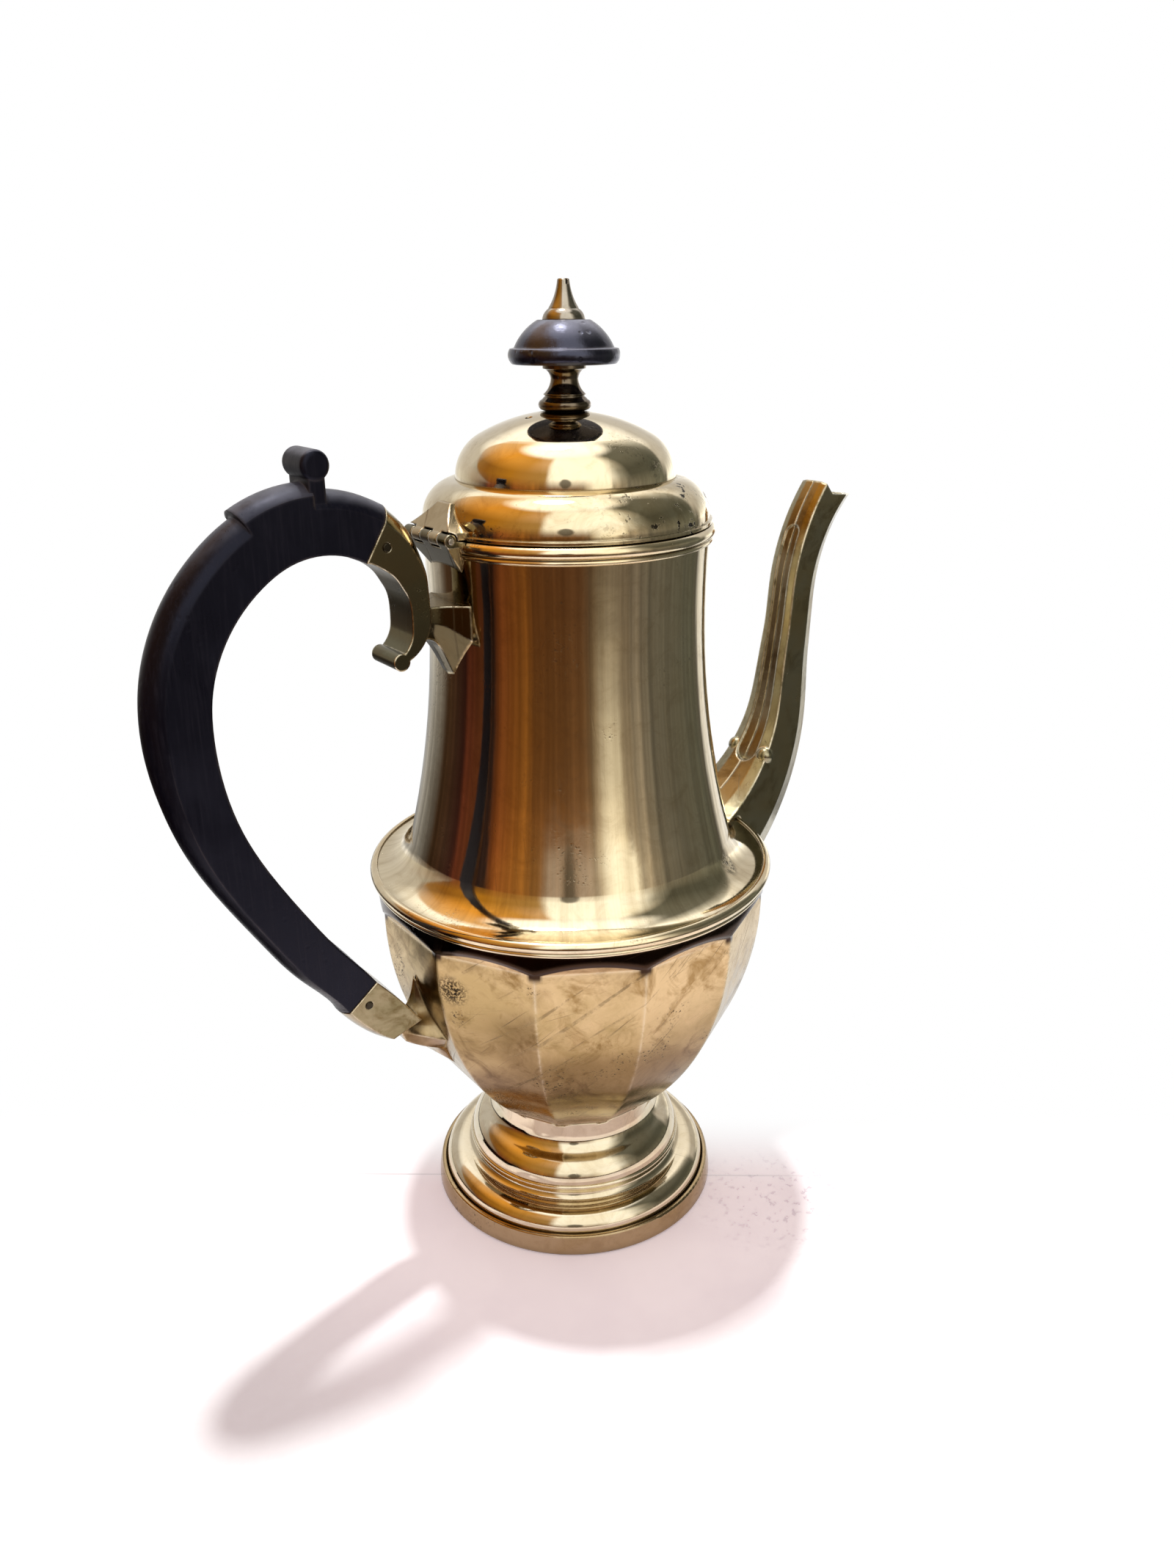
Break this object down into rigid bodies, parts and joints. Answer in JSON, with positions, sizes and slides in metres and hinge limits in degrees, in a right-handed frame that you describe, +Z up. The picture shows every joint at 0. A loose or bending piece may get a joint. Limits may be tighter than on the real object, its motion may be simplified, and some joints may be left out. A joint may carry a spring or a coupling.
{
  "type": "coffee pot",
  "caption": "Footed metal coffee pot with a panelled bowl, tall waisted neck, hinged domed lid with a dark knob, swan-neck spout and a dark scrolled side handle.",
  "frame": {"origin": "middle of the base, on the plane that rests on the table", "axes": "+Z up along the pot's axis, +X toward the spout, -X toward the handle, +Y across the pot"},
  "size_m": [0.2027, 0.1048, 0.24],
  "materials": {
    "plate": "worn silver plate with a warm tone, smudged polish and fine scratches",
    "black_handle": "ebonised, satin, worn at the edges",
    "fastener": "plain turned steel"
  },
  "bodies": {
    "pot": {"neck_shell": "plate", "bowl_shell": "plate", "shoulder_bead": "plate", "mouth_bead": "plate", "pedestal_foot": "plate", "foot_bead": "plate", "base_band": "plate", "spout_left_half": "plate", "spout_right_half": "plate", "upper_socket": "plate", "upper_bracket": "plate", "lower_socket": "plate", "lower_bracket": "plate", "handle": "black_handle", "upper_handle_pin": "plate", "lower_handle_pin": "plate", "hinge_body_leaf": "plate", "hinge_pin": "fastener"},
    "lid": {"lid_dome": "plate", "lid_band": "plate", "lid_bezel": "plate", "hinge_lid_leaf": "plate", "finial_stem": "plate", "finial_knob": "black_handle", "finial_tip": "plate", "finial_rod": "fastener", "finial_nut": "fastener", "finial_washer": "fastener"}
  },
  "joints": [
    {"name": "lid_hinge", "type": "hinge", "parent": "pot", "child": "lid", "pos_m": [-0.0372, 0, 0.1869], "axis": [0, -1, 0], "range_deg": [0, 85]}
  ]
}
